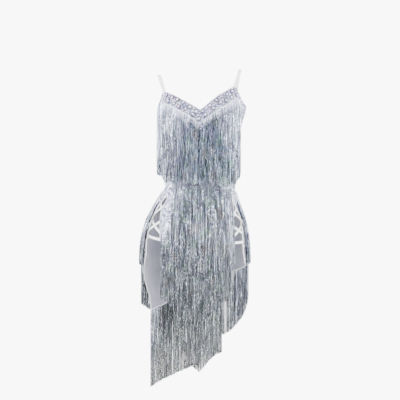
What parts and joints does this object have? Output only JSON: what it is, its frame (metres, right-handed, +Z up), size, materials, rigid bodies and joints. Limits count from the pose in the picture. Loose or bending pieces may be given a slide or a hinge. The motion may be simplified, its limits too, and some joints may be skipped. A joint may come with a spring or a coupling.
{
  "type": "fringed latin dance dress",
  "caption": "Sleeveless latin dance dress in its worn form, with a jewelled V neckline, tiers of tinsel fringe, laced hip slits and a slanting fringed hem.",
  "frame": {"origin": "midway between the crowns of the two shoulder straps", "axes": "+Z up, as worn; the front faces -Y; +X is on the right of someone who looks at the front"},
  "size_m": [0.3461, 0.2578, 0.9953],
  "materials": {
    "sparkle_cloth": "white stretch cloth covered in small clear and pearl sequins",
    "stone_band": "pale lilac cloth set closely with clear faceted stones",
    "white_elastic": "flat white satin elastic",
    "silver_tinsel": "silver metallic fringe with a faint rainbow sheen"
  },
  "bodies": {
    "root": {"front_panel": "sparkle_cloth", "back_panel": "sparkle_cloth", "neckline_band": "stone_band", "strap_left": "white_elastic", "strap_right": "white_elastic", "lace_left_1": "white_elastic", "lace_left_2": "white_elastic", "lace_left_3": "white_elastic", "lace_left_4": "white_elastic", "lace_left_5": "white_elastic", "lace_right_1": "white_elastic", "lace_right_2": "white_elastic", "lace_right_3": "white_elastic", "lace_right_4": "white_elastic", "lace_right_5": "white_elastic", "fringe_bust_front": "silver_tinsel", "fringe_bust_back": "silver_tinsel", "fringe_waist_front": "silver_tinsel", "fringe_waist_back": "silver_tinsel", "fringe_hip_front": "silver_tinsel", "fringe_hip_back": "silver_tinsel", "fringe_hem_front": "silver_tinsel", "fringe_hem_back": "silver_tinsel"}
  },
  "joints": []
}
